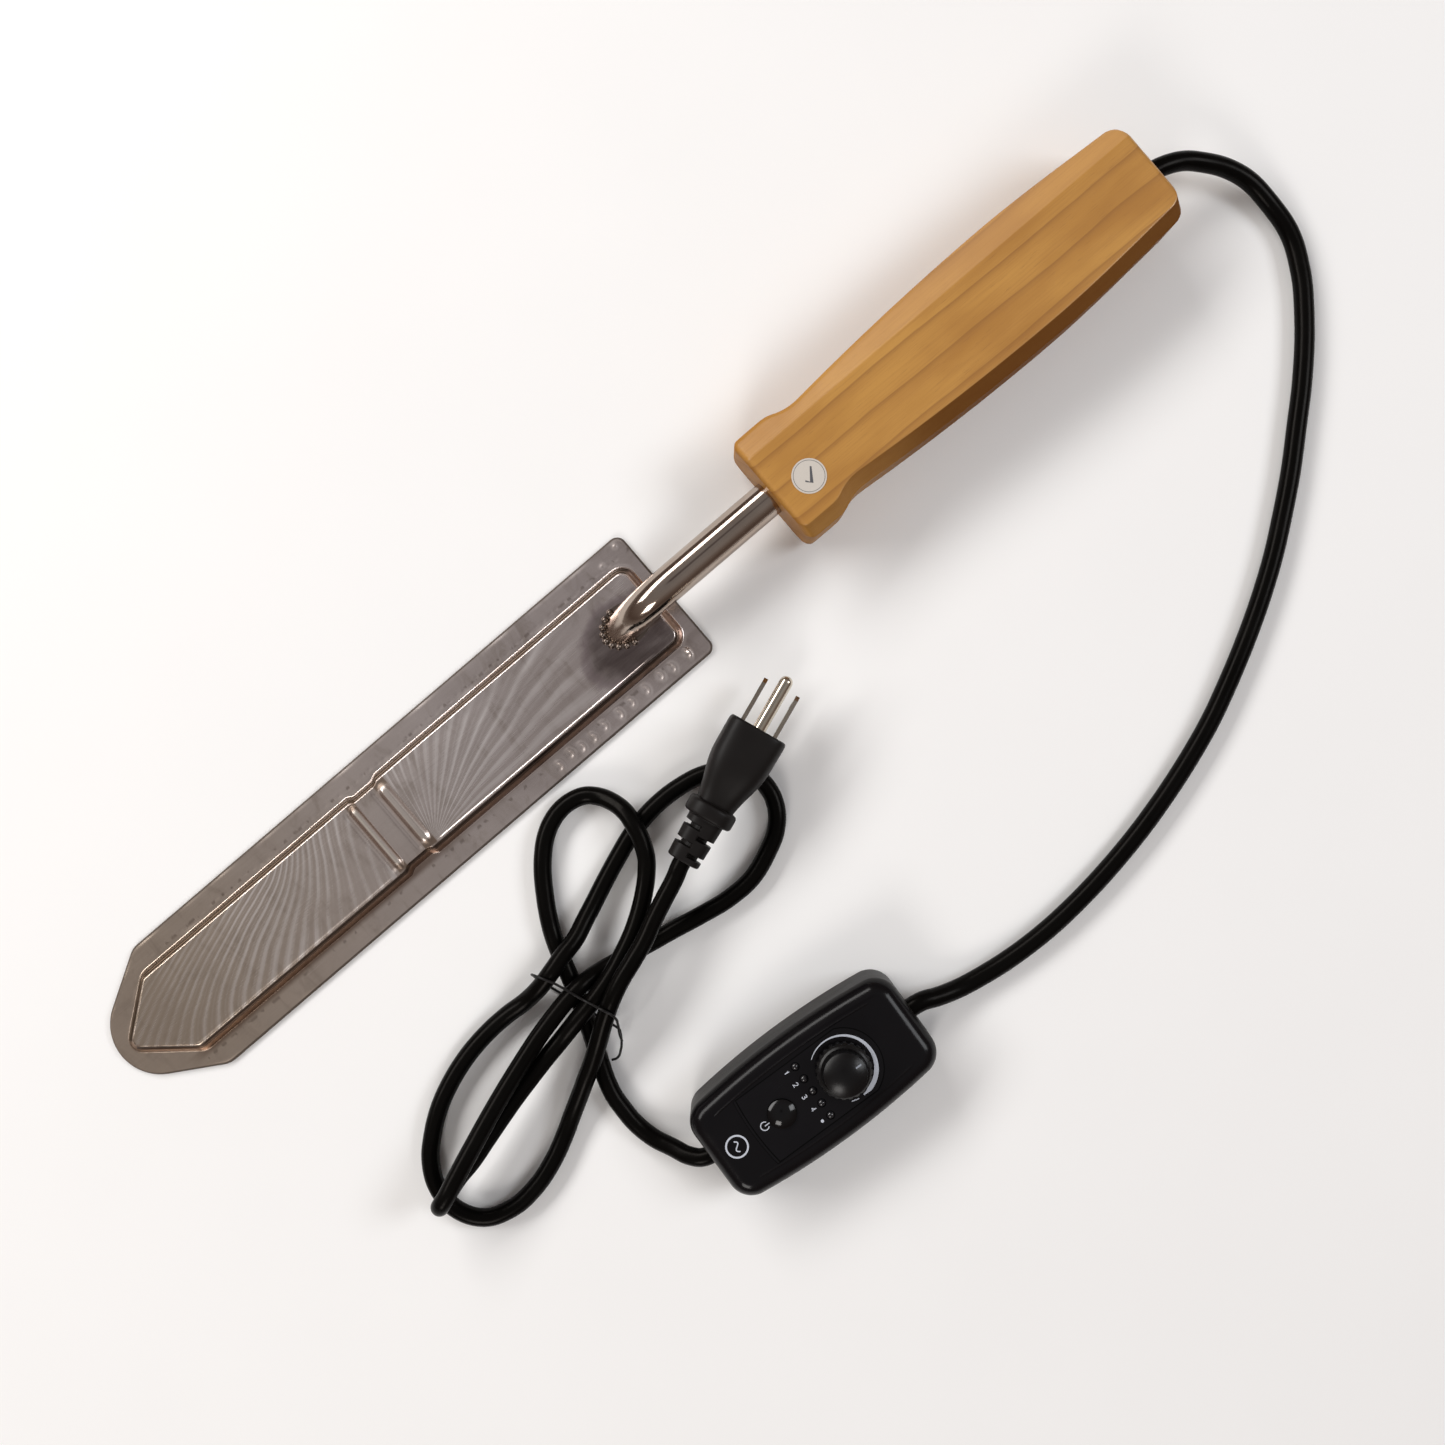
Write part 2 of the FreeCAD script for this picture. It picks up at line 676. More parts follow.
# --------------------------------------------------------------- handle ----
def handle_outline():
    """The long swell arc runs tangent into the guard hollow and into the butt corner."""
    front, guard_x, butt = size.handle_front_x, size.handle_guard_x, size.handle_butt_x
    swell, hollow = size.swell_arc_radius, size.guard_arc_radius
    corner, lip = size.butt_corner_radius, size.guard_corner_radius
    # centres of the swell arc, the guard hollow and the butt corner
    swell_x, swell_y = size.handle_swell_x, size.swell_half_width - swell
    hollow_dx = size.handle_waist_x - swell_x
    hollow_y = root((swell + hollow) * (swell + hollow) - hollow_dx * hollow_dx) + swell_y
    corner_dx = butt - corner - swell_x
    corner_y = root((swell - corner) * (swell - corner) - corner_dx * corner_dx) + swell_y
    # tangent points between them
    waist_x = swell_x + hollow_dx * swell / (swell + hollow)
    waist_y = swell_y + (hollow_y - swell_y) * swell / (swell + hollow)
    end_x = swell_x + corner_dx * swell / (swell - corner)
    end_y = swell_y + (corner_y - swell_y) * swell / (swell - corner)
    guard_dx = guard_x - size.handle_waist_x
    guard_y = hollow_y - root(hollow * hollow - guard_dx * guard_dx)
    return [(butt, -corner_y), (butt, corner_y, corner, 1), (end_x, end_y, swell, 1),
            (waist_x, waist_y, hollow, -1), (guard_x, guard_y),
            (front + lip, guard_y, lip, 1), (front, guard_y - lip),
            (front, -(guard_y - lip), lip, 1), (front + lip, -guard_y),
            (guard_x, -guard_y, hollow, -1), (waist_x, -waist_y, swell, 1),
            (end_x, -end_y, corner, 1)]


@piece
def handle():
    part = body("handle")
    front, axis_z = size.handle_front_x, size.handle_axis_z
    pad(part, "HandleBlank", sketch(part, "HandleOutline", handle_outline(),
                                    offset=axis_z - size.handle_thickness / 2),
        size.handle_thickness)
    dress(part, "Fillet", "RoundedEdges", lambda bb: bb.ZMax - bb.ZMin < 1e-4,
          size.handle_edge_radius)
    bore = circle_sketch(part, "FrontBore", [(0, axis_z, size.handle_bore_radius)],
                         "YZ_Plane", front - 1)
    pocket(part, "TubeBore", bore, size.handle_bore_end_x - front + 1, reverse=True)
    bore = circle_sketch(part, "RearBore", [(0, axis_z, size.handle_cord_radius + 0.25)],
                         "YZ_Plane", size.handle_butt_x + 3)
    pocket(part, "CordBore", bore, 50.0)
    return part


register("inspection_sticker",
         cylinder("Sticker", KNIFE, 188.4, -4.4, size.handle_axis_z + size.handle_thickness / 2,
                  size.sticker_radius, size.sticker_thickness))


@piece
def cord_stop():
    """Clamped collar that cannot pass the rear hole."""
    x, length, axis_z = 300.0, 8.0, size.handle_axis_z
    stop = cylinder("StopRing", KNIFE, x, 0, axis_z, 6.0, length, (1, 0, 0))
    hole = cylinder("StopBore", KNIFE, x - 1, 0, axis_z, size.handle_cord_radius + 0.02,
                    length + 2, (1, 0, 0))
    return cut("CordStop", stop, hole)


# insulated lead from a ribbon tail up the tube to its splice: x, distance from y = 0, z
LEAD = [
    (97.0, 13.1, 2.2), (99.2, 12.9, 2.2), (101.6, 11.0, 2.3), (104.0, 7.2, 2.9),
    (106.3, 3.4, 4.4), (108.6, 2.1, 6.3), (112.2, 1.8, 9.9), (116.4, 1.8, 13.6),
    (122.0, 1.8, 16.6), (130.3, 1.8, 18.0), (150.0, 1.8, 18.0), (190.0, 1.8, 18.0),
    (232.0, 1.8, 18.0), (240.0, 2.6, 18.0), (246.0, 3.0, 18.0),
]
SIDES = (("A", -1), ("B", 1))


@piece
def heater_leads():
    return group("HeaterLeads", [
        feature("Lead" + letter, sweep([(x, side * y, z) for x, y, z in LEAD], 0.95,
                                       ends=((1, 0, 0), (1, 0, 0))))
        for letter, side in SIDES])


@piece
def splice_sleeves():
    x, y, z = LEAD[-1]
    return group("SpliceSleeves", [
        cylinder("Sleeve" + letter, KNIFE, x, side * y, z, 2.3, 16.0, (1, 0, 0))
        for letter, side in SIDES])


# ------------------------------------------------------ control box case ----
CORNERS = [(1, 1), (1, -1), (-1, 1), (-1, -1)]
SINK = 0.2  # posts and cradles start this far inside the floor
HEAD_RECESS = 2.6
CLAMP_X, CLAMP_Y = 37.0, 5.05  # cord clamp screws
CLAMP_LENGTH, CLAMP_HALF_WIDTH = 5.0, 6.4
POSTS = (size.post_x, size.post_y)
STANDOFFS = (size.standoff_x, size.standoff_y)
FILM_Z = size.box_height - size.film_depth
BOARD_TOP = size.board_z + size.board_thickness
LEDS = [(size.led_x, size.led_pitch * k) for k in (-2, -1, 0, 1, 2)]


def at_corners(spot, radius):
    """A circle at each of the four mirror images of the spot."""
    return [(x * spot[0], y * spot[1], radius) for x, y in CORNERS]


def box_outline(inset):
    """Flat ends, rounded corners and long sides that bow outwards."""
    corner, side = size.box_corner_radius, size.box_side_radius
    side_y = size.box_mid_half_width - side
    corner_x = size.box_length / 2 - corner
    corner_y = root((side - corner) * (side - corner) - corner_x * corner_x) + side_y
    r, bow, end_x = corner - inset, side - inset, size.box_length / 2 - inset
    x = corner_x * bow / (bow - r)
    y = side_y + (corner_y - side_y) * bow / (bow - r)
    return [(end_x, -corner_y), (end_x, corner_y, r, 1), (x, y, bow, 1), (-x, y, r, 1),
            (-end_x, corner_y), (-end_x, -corner_y, r, 1), (-x, -y, bow, 1), (x, -y, r, 1)]


def cord_entries(name, prefix):
    """Cutting rods for the two cords, one through each end of the case."""
    return fuse(name, [
        cylinder(prefix + side, BOX, sign * 33.0, 0, size.entry_z, radius + size.cord_fit,
                 14.0, (sign, 0, 0))
        for side, sign, radius in (("Right", 1, size.handle_cord_radius),
                                   ("Left", -1, size.power_cord_radius))])


@piece
def box_base():
    """Lower half: tub with screw posts, board standoffs and two cord cradles."""
    part = body("box_base_blank", BOX)
    split, wall = size.split_height, size.box_wall
    root_z = wall - SINK
    pad(part, "Base", sketch(part, "BaseOutline", box_outline(0)), split)
    pocket(part, "Tub", sketch(part, "TubOutline", box_outline(wall), offset=split),
           split - wall)
    posts = circle_sketch(part, "Posts", at_corners(POSTS, 4.0), offset=root_z)
    pad(part, "ScrewPosts", posts, split - root_z)
    standoffs = circle_sketch(part, "StandoffCircles", at_corners(STANDOFFS, 2.6),
                              offset=root_z)
    pad(part, "Standoffs", standoffs, size.board_z - root_z)
    for name, x in (("CradleLeft", -CLAMP_X), ("CradleRight", CLAMP_X)):
        foot = rectangle(x - CLAMP_LENGTH / 2, -CLAMP_HALF_WIDTH,
                         x + CLAMP_LENGTH / 2, CLAMP_HALF_WIDTH)
        pad(part, name, sketch(part, name + "Foot", foot, offset=root_z),
            size.entry_z - 0.2 - root_z)
    holes = circle_sketch(part, "PostHoles", at_corners(POSTS, 1.7))
    pocket(part, "ScrewHoles", holes, split + 1, reverse=True)
    holes = circle_sketch(part, "HeadHoles", at_corners(POSTS, 3.0))
    pocket(part, "HeadRecesses", holes, HEAD_RECESS, reverse=True)
    holes = circle_sketch(part, "StandoffPilots", at_corners(STANDOFFS, 1.1),
                          offset=size.board_z)
    pocket(part, "PilotHoles", holes, 8.0)
    holes = circle_sketch(part, "ClampPilots", at_corners((CLAMP_X, CLAMP_Y), 0.85),
                          offset=size.entry_z)
    pocket(part, "ClampPilotHoles", holes, 6.0)
    return cut("BoxBase", part, cord_entries("BaseEntries", "Entry"))


def film_outline(grow):
    """Slightly bowed left end; right end concentric with the knob."""
    arc, half = size.film_arc_radius, size.film_half_width
    left = size.film_left_x - grow
    right = size.knob_x + root(arc * arc - half * half)
    return [(left, -half - grow), (right, -half - grow, arc + grow, 1),
            (right, half + grow), (left, half + grow, 90.0, 1)]


def control_circles(knob_radius, button_gap, led_gap):
    """Openings for the knob's bushing, the button and the five lamps."""
    return ([(size.knob_x, 0, knob_radius),
             (size.button_x, 0, size.button_radius + button_gap)]
            + [(x, y, size.led_radius + led_gap) for x, y in LEDS])


@piece
def box_cover():
    """Upper half: crowned lid with a recess for the film and holes for the controls."""
    part = body("box_cover_blank", BOX)
    split, wall, top = size.split_height, size.box_wall, size.box_height
    pad(part, "Cover", sketch(part, "CoverOutline", box_outline(0), offset=split),
        top - split)
    dress(part, "Fillet", "Crown", lambda bb: near(bb.ZMin, num.box_height),
          size.crown_radius)
    # a lid cavity with sloping upper edges keeps the wall even under the crown
    slope_z = top - size.crown_radius + 0.6
    pocket(part, "LidLower", sketch(part, "LidCavity", box_outline(wall), offset=split),
           slope_z - split, reverse=True)
    lower = sketch(part, "LidUpperA", box_outline(wall), offset=slope_z)
    upper = sketch(part, "LidUpperB", box_outline(wall + 3.2), offset=top - wall)
    loft(part, "SubtractiveLoft", "LidUpper", lower, upper)
    posts = circle_sketch(part, "CoverPosts", at_corners(POSTS, 3.4), offset=split)
    pad(part, "CoverScrewPosts", posts, top - wall + 0.3 - split)
    pilots = circle_sketch(part, "CoverPilots", at_corners(POSTS, 1.55), offset=split)
    pocket(part, "CoverPilotHoles", pilots, 8.2, reverse=True)
    pocket(part, "FilmRecess", sketch(part, "FilmField", film_outline(0.15), offset=top),
           size.film_depth)
    holes = circle_sketch(part, "ControlHoles",
                          control_circles(size.bushing_radius + 0.1, 0.08, 0.08), offset=top)
    pocket(part, "ControlOpenings", holes, 4.0)
    return cut("BoxCover", part, cord_entries("LidEntries", "LidEntry"))


@piece
def panel_film():
    part = body("panel_film", BOX)
    pad(part, "Film", sketch(part, "FilmOutline", film_outline(0), offset=FILM_Z),
        size.film_thickness)
    holes = circle_sketch(part, "FilmHoles", control_circles(6.0, 0.2, 0.1),
                          offset=FILM_Z + size.film_thickness)
    pocket(part, "FilmOpenings", holes, 1.0)
    return part


# -------------------------------------------------------------- controls ----
@piece
def control_knob():
    """Domed, fluted knob, hollow below and bored for the shaft."""
    part = body("control_knob", shifted(BOX, num.knob_x))
    radius, base, top = size.knob_radius, size.knob_base_z, size.knob_top_z
    bore, hollow = size.shaft_radius + 0.05, 7.2
    dome_r, dome_z = radius - 2.3, top - 2.0
    rise = top - dome_z
    dome = (dome_r * dome_r + rise * rise) / (2 * rise)
    half = sketch(part, "KnobHalf", [
        (bore, top - 8.6), (hollow, top - 8.6), (hollow, base), (radius, base),
        (radius, base + 3.6), (radius - 0.9, base + 4.6), (radius - 1.6, base + 5.0),
        (dome_r, dome_z, dome, 1), (0, top), (0, top - 2.4), (bore, top - 2.4)], "XZ_Plane")
    revolve(part, "KnobTurned", half)
    blank = part.Shape.Volume
    circle = circle_sketch(part, "FluteCircle", [(radius + 0.35, 0, 0.85)], offset=top)
    flute = pocket(part, "Flute", circle, 12.0)
    pattern = part.newObject("PartDesign::PolarPattern", "Flutes")
    pattern.Originals = [flute]
    pattern.Axis = (circle, ["N_Axis"])
    pattern.Angle = 360.0
    pattern.Occurrences = 24
    part.Tip = pattern
    doc.recompute()
    if not part.Shape.Volume < blank - 4.0:
        raise RuntimeError("flutes missing")
    return part


@piece
def pot_shaft():
    shaft = cylinder("ShaftRod", BOX, size.knob_x, 0, 16.2, size.shaft_radius, 16.8)
    slot = block("ShaftSlot", BOX, size.knob_x - 4.0, -0.5, 27.4, 8.0, 1.0, 6.0)
    return cut("PotShaft", shaft, slot)


@piece
def pot_body():
    x, side = size.knob_x, 16.0
    can = block("PotCan", BOX, x - side / 2, -side / 2, BOARD_TOP, side, side, 7.5)
    bush = cylinder("PotBushing", BOX, x, 0, BOARD_TOP + 7.0, size.bushing_radius, 5.4)
    bore = cylinder("PotBore", BOX, x, 0, 16.0, size.shaft_radius + 0.05, 14.0)
    return cut("PotBody", fuse("PotBlank", [can, bush]), bore)


@piece
def pot_nut():
    part = body("pot_nut", shifted(BOX, num.knob_x))
    across_flats, height = 10.0, 2.0
    radius = across_flats / math.sqrt(3.0)
    turns = [math.radians(60 * i) for i in range(6)]
    hexagon = [(radius * math.cos(turn), radius * math.sin(turn)) for turn in turns]
    pad(part, "Nut", sketch(part, "NutHex", hexagon, offset=FILM_Z), height)
    bore = circle_sketch(part, "NutBore", [(0, 0, size.bushing_radius + 0.02)],
                         offset=FILM_Z + height)
    pocket(part, "NutHole", bore, 3.0)
    return part


@piece
def push_button():
    """Domed cap, retaining flange under the lid and a stem."""
    part = body("push_button", shifted(BOX, num.button_x))
    cap_r, cap_z, rise = size.button_radius, size.box_height + 0.7, Driven.of(1.5)
    stem_r, stem_z = 1.5, 18.4
    flange_r, flange_z, flange_top = 5.9, 20.4, 21.9
    dome = (cap_r * cap_r + rise * rise) / (2 * rise)
    half = sketch(part, "ButtonHalf", [
        (0, stem_z), (stem_r, stem_z), (stem_r, flange_z), (flange_r, flange_z),
        (flange_r, flange_top), (cap_r, flange_top), (cap_r, cap_z, dome, 1),
        (0, cap_z + rise)], "XZ_Plane")
    revolve(part, "ButtonTurned", half)
    return part


@piece
def switch_body():
    x = size.button_x
    switch = block("SwitchBlock", BOX, x - 3.0, -3.0, BOARD_TOP, 6.0, 6.0, 3.4)
    well = cylinder("SwitchWell", BOX, x, 0, BOARD_TOP + 1.0, 1.8, 4.0)
    return cut("SwitchBody", switch, well)


register("switch_plunger",
         cylinder("SwitchPlunger", BOX, size.button_x, 0, BOARD_TOP + 2.0, 1.74, 2.8))


@piece
def indicator_lamps():
    """Five indicator lamps on wire legs."""
    radius, body_z, body_height = size.led_radius, 19.0, 4.2
    wire, leg_height = 0.5, 4.9
    lamps = []
    for k, (x, y) in enumerate(LEDS):
        lamps.append(fuse("Lamp%d" % k, [
            cylinder("LampBody%d" % k, BOX, x, y, body_z, radius, body_height),
            cylinder("LampFlange%d" % k, BOX, x, y, 18.3, 1.9, 0.8),
            block("LampLegA%d" % k, BOX, x - 1.5, y - wire / 2, BOARD_TOP,
                  wire, wire, leg_height),
            block("LampLegB%d" % k, BOX, x + 1.0, y - wire / 2, BOARD_TOP,
                  wire, wire, leg_height),
            ball("LampTop%d" % k, BOX, x, y, body_z + body_height, radius)]))
    return group("IndicatorLamps", lamps)


# ------------------------------------------------- board, screws, clamps ----
@piece
def circuit_board():
    part = body("circuit_board", BOX)
    half_x, half_y = size.board_length / 2, size.board_width / 2
    outline = sketch(part, "BoardOutline", rectangle(-half_x, -half_y, half_x, half_y),
                     offset=size.board_z)
    pad(part, "Board", outline, size.board_thickness)
    holes = circle_sketch(part, "BoardHoles", at_corners(STANDOFFS, 1.4), offset=BOARD_TOP)
    pocket(part, "MountingHoles", holes, 3.0)
    return part


def corner_screws(name, spot, z, head_r, head_height, shank_r, shank_length, up=True):
    """Four screws seated at z; the head is above it if up, the shank on the other side."""
    head_z = z if up else z - head_height
    shank_z = z - shank_length if up else z
    screws = []
    for i, (x, y, _) in enumerate(at_corners(spot, 0)):
        one = "%s%d" % (name, i)
        screws.append(fuse(one, [
            cylinder(one + "Head", BOX, x, y, head_z, head_r, head_height),
            cylinder(one + "Shank", BOX, x, y, shank_z, shank_r, shank_length)]))
    return group(name + "s", screws)


CLAMP_HEIGHT = 5.2
register("board_screws", corner_screws(
    "BoardScrew", STANDOFFS, BOARD_TOP, head_r=2.2, head_height=1.3, shank_r=1.05,
    shank_length=8.0))
register("case_screws", corner_screws(
    "CaseScrew", POSTS, HEAD_RECESS, head_r=2.8, head_height=2.2, shank_r=1.5,
    shank_length=15.0, up=False))


@piece
def cord_clamps():
    """Bars with an arch over each cord."""
    clamps, z = [], size.entry_z
    for i, (x, radius) in enumerate(((-CLAMP_X, size.power_cord_radius),
                                     (CLAMP_X, size.handle_cord_radius))):
        bar = block("ClampBar%d" % i, BOX, x - CLAMP_LENGTH / 2, -CLAMP_HALF_WIDTH, z,
                    CLAMP_LENGTH, 2 * CLAMP_HALF_WIDTH, CLAMP_HEIGHT)
        cuts = [cylinder("ClampArch%d" % i, BOX, x - 4.0, 0, z, radius + size.cord_fit, 8.0,
                         (1, 0, 0)),
                cylinder("ClampHoleA%d" % i, BOX, x, CLAMP_Y, z - 1, 0.95, 8.0),
                cylinder("ClampHoleB%d" % i, BOX, x, -CLAMP_Y, z - 1, 0.95, 8.0)]
        clamps.append(cut("Clamp%d" % i, bar, fuse("ClampCuts%d" % i, cuts)))
    return group("CordClamps", clamps)


register("clamp_screws", corner_screws(
    "ClampScrew", (CLAMP_X, CLAMP_Y), size.entry_z + CLAMP_HEIGHT, head_r=1.3,
    head_height=1.0, shank_r=0.8, shank_length=9.6))

# ------------------------------------------------------ board components ----
SINK_SCREW_Z = 4.5
HANG = 8.5  # height of the blocks that hang under the board


@piece
def triac():
    """Case, tab and three legs, pierced along y for the screw."""
    solids = [block("TriacCase", BOX, -5.0, 3.7, 6.4, 10.0, 4.3, 5.0),
              block("TriacTab", BOX, -5.0, 6.7, 2.7, 10.0, 1.3, 4.0)]
    solids += [block("TriacLeg%d" % i, BOX, -2.94 + 2.54 * i, 5.6, 11.2, 0.8, 0.5, 0.8)
               for i in range(3)]
    hole = cylinder("TriacTabHole", BOX, 0, 6.0, SINK_SCREW_Z, 1.55, 3.0, (0, 1, 0))
    return cut("Triac", fuse("TriacBlank", solids), hole)


@piece
def heat_sink():
    """Finned plate under the board, behind the triac's tab."""
    left, bottom, height = -15.0, 2.6, 9.0
    solids = [block("SinkPlate", BOX, left, 8.0, bottom, 30.0, 1.6, height)]
    solids += [block("SinkFin%d" % i, BOX, left + 5.8 * i, 9.4, bottom, 1.0, 6.0, height)
               for i in range(6)]
    hole = cylinder("SinkHole", BOX, 0, 7.0, SINK_SCREW_Z, 1.5, 4.0, (0, 1, 0))
    return cut("HeatSink", fuse("SinkBlank", solids), hole)


register("triac_screw", fuse("TriacScrew", [
    cylinder("TriacScrewHead", BOX, 0, 4.9, SINK_SCREW_Z, 1.7, 1.8, (0, 1, 0)),
    cylinder("TriacScrewShank", BOX, 0, 6.5, SINK_SCREW_Z, 1.45, 4.6, (0, 1, 0))]))
register("film_capacitor", block("FilmCapacitor", BOX, -9.0, -15.6, size.board_z - HANG,
                                 18.0, 7.0, HANG))
register("electrolytic_capacitor",
         cylinder("ElectrolyticCan", BOX, 25.3, 0, BOARD_TOP, 4.0, 7.0))


@piece
def controller_chip():
    """Case on two rows of seven legs."""
    solids = [block("ChipCase", BOX, -22.5, -13.0, BOARD_TOP + 0.6, 18.0, 6.4, 3.0)]
    solids += [block("ChipLeg%d%d" % (i, j), BOX, -21.4 + 2.54 * i, y, BOARD_TOP,
                     0.5, 0.5, 2.2)
               for i in range(7) for j, y in enumerate((-13.5, -6.6))]
    return fuse("ControllerChip", solids)


@piece
def resistors():
    left, length, wire, lift = -21.6, 9.5, 0.3, 1.5
    z, leg, row = BOARD_TOP + lift, lift + 0.3, []
    for i in range(4):
        y = 7.2 + 2.9 * i
        row.append(fuse("Resistor%d" % i, [
            cylinder("ResistorBody%d" % i, BOX, -20.0, y, z, 1.2, 6.3, (1, 0, 0)),
            cylinder("ResistorWire%d" % i, BOX, left, y, z, wire, length, (1, 0, 0)),
            cylinder("ResistorEndA%d" % i, BOX, left, y, BOARD_TOP, wire, leg),
            cylinder("ResistorEndB%d" % i, BOX, left + length, y, BOARD_TOP, wire, leg)]))
    return group("Resistors", row)


FUSE_Y, FUSE_Z = -2.5, 7.5
register("fuse_link", cylinder("FuseGlass", BOX, -10.0, FUSE_Y, FUSE_Z, 2.5, 20.0, (1, 0, 0)))


@piece
def fuse_clips():
    clips = []
    for i, x in enumerate((-9.6, 5.6)):
        clip = block("FuseClipBlock%d" % i, BOX, x, FUSE_Y - 3.3, 6.0, 4.0, 6.6, 6.0)
        bore = cylinder("FuseClipBore%d" % i, BOX, x - 1, FUSE_Y, FUSE_Z, 2.52, 6.0,
                        (1, 0, 0))
        clips.append(cut("FuseClip%d" % i, clip, bore))
    return group("FuseClips", clips)


register("terminal_blocks", group("TerminalBlocks", [
    block(name, BOX, x, -7.5, size.board_z - HANG, 9.0, 15.0, HANG)
    for name, x in (("TerminalLeft", -24.5), ("TerminalRight", 15.5))]))

# ----------------------------------------------------------------- plug ----
INSERT = (17.0, 18.0, 2.4)  # width, height, corner radius
TAIL_LENGTH = 17.0  # prongs reach this far back from the front face
HALF_PITCH = size.blade_pitch / 2
GROUND_Z = size.prong_z + size.ground_above_blades


def rounded(width, height, radius):
    half_w, half_h, r = Driven.of(width) / 2, Driven.of(height) / 2, Driven.of(radius)
    x, y = half_w - r, half_h - r
    return [(half_w, -y), (half_w, y, r, 1), (x, half_h), (-x, half_h, r, 1),
            (-half_w, y), (-half_w, -y, r, 1), (-x, -half_h), (x, -half_h, r, 1)]


@piece
def plug_body():
    """Main block, taper, collar and slotted strain relief, from the prongs backwards."""
    part = body("plug_body_blank", PLUG)
    length, taper = size.plug_body_length, size.plug_taper_length
    collar_x = -(length + taper + size.collar_length)
    relief_x = collar_x - size.relief_length
    section = rounded(size.plug_width, size.plug_height, size.plug_corner_radius)
    pad(part, "PlugMain", sketch(part, "PlugSection", section, "YZ_Plane", -length), length)
    dress(part, "Fillet", "FrontEdge", lambda bb: near(bb.XMin, 0) and near(bb.XMax, 0), 1.2)
    front = sketch(part, "TaperFront", section, "YZ_Plane", -length)
    rear = sketch(part, "TaperRear", rounded(13.0, 13.0, 6.2), "YZ_Plane",
                  -(length + taper))
    loft(part, "AdditiveLoft", "Taper", front, rear)
    circle = circle_sketch(part, "CollarCircle", [(0, 0, size.collar_radius)], "YZ_Plane",
                           collar_x)
    pad(part, "Collar", circle, size.collar_length)
    dress(part, "Fillet", "CollarEdges",
          lambda bb: near(bb.YMax, num.collar_radius, 1e-3) and bb.XMax - bb.XMin < 1e-4, 1.5)
    front = circle_sketch(part, "ReliefFront", [(0, 0, size.relief_radius)], "YZ_Plane",
                          collar_x)
    rear = circle_sketch(part, "ReliefRear", [(0, 0, size.relief_end_radius)], "YZ_Plane",
                         relief_x)
    loft(part, "AdditiveLoft", "Relief", front, rear)
    seat = sketch(part, "InsertSeat", rounded(*INSERT), "YZ_Plane", 1.0)
    pocket(part, "InsertCavity", seat, length + 1.0 - 0.4)
    bore = circle_sketch(part, "CordBoreCircle", [(0, 0, size.power_cord_radius + 0.02)],
                         "YZ_Plane", relief_x - 1)
    pocket(part, "CordBore", bore, size.relief_length + size.collar_length + taper + 3.0,
           reverse=True)
    # slots cut from alternate sides, outside a solid core
    slots = []
    for i, (x, y) in enumerate(((-40.4, 0.6), (-43.6, -8.6), (-46.8, 0.6), (-50.0, -8.6))):
        bar = block("SlotBar%d" % i, PLUG, x - 0.8, y, -8.0, 1.6, 8.0, 16.0)
        core = cylinder("SlotCore%d" % i, PLUG, x - 2.0, 0, 0, 4.2, 4.0, (1, 0, 0))
        slots.append(cut("Slot%d" % i, bar, core))
    return cut("PlugBody", part, fuse("ReliefSlots", slots))


@piece
def plug_insert():
    """Block that fills the plug's front cavity, with an opening for each prong."""
    part = body("plug_insert", PLUG)
    depth, start, reach = 14.0, 0.5, 16.0
    pad(part, "Insert", sketch(part, "InsertOutline", rounded(*INSERT), "YZ_Plane", -depth),
        depth)
    hole = circle_sketch(part, "InsertSlots", [(0, GROUND_Z, size.ground_tail_radius)],
                         "YZ_Plane", start)
    pocket(part, "GroundHole", hole, reach)
    half_y, half_z = size.prong_thickness / 2, size.prong_width / 2
    for name, side in (("Line", -1), ("Neutral", 1)):
        y = side * HALF_PITCH
        outline = rectangle(y - half_y, size.prong_z - half_z,
                            y + half_y, size.prong_z + half_z)
        pocket(part, name + "Opening",
               sketch(part, name + "Slot", outline, "YZ_Plane", start), reach)
    return part


def prong(name, y):
    """Flat prong with a bevelled end and a hole through it."""
    part = body(name + "_blank", shifted(PLUG, 0, y, num.prong_z))
    half, end = size.prong_width / 2, size.prong_length
    side = sketch(part, "BladeSide", [
        (-TAIL_LENGTH, -half), (end - 1.6, -half), (end, -(half - 1.4)), (end, half - 1.4),
        (end - 1.6, half), (-TAIL_LENGTH, half)], "XZ_Plane")
    pad(part, "BladeStrip", side, size.prong_thickness, mid=True)
    hole = cylinder(name + "_hole", PLUG, 12.6, y - 2.0, size.prong_z, 1.6, 4.0, (0, 1, 0))
    register(name, cut(name.title().replace("_", ""), part, hole))


prong("line_blade", -HALF_PITCH.value)
prong("neutral_blade", HALF_PITCH.value)


@piece
def ground_pin():
    """Thinner tail, round rod and ball end."""
    rod_end = size.ground_length - size.ground_radius
    return fuse("GroundPin", [
        cylinder("GroundTail", PLUG, -TAIL_LENGTH, 0, GROUND_Z, size.ground_tail_radius,
                 TAIL_LENGTH, (1, 0, 0)),
        cylinder("GroundRod", PLUG, 0, 0, GROUND_Z, size.ground_radius, rod_end, (1, 0, 0)),
        ball("GroundTip", PLUG, rod_end, 0, GROUND_Z, size.ground_radius)])


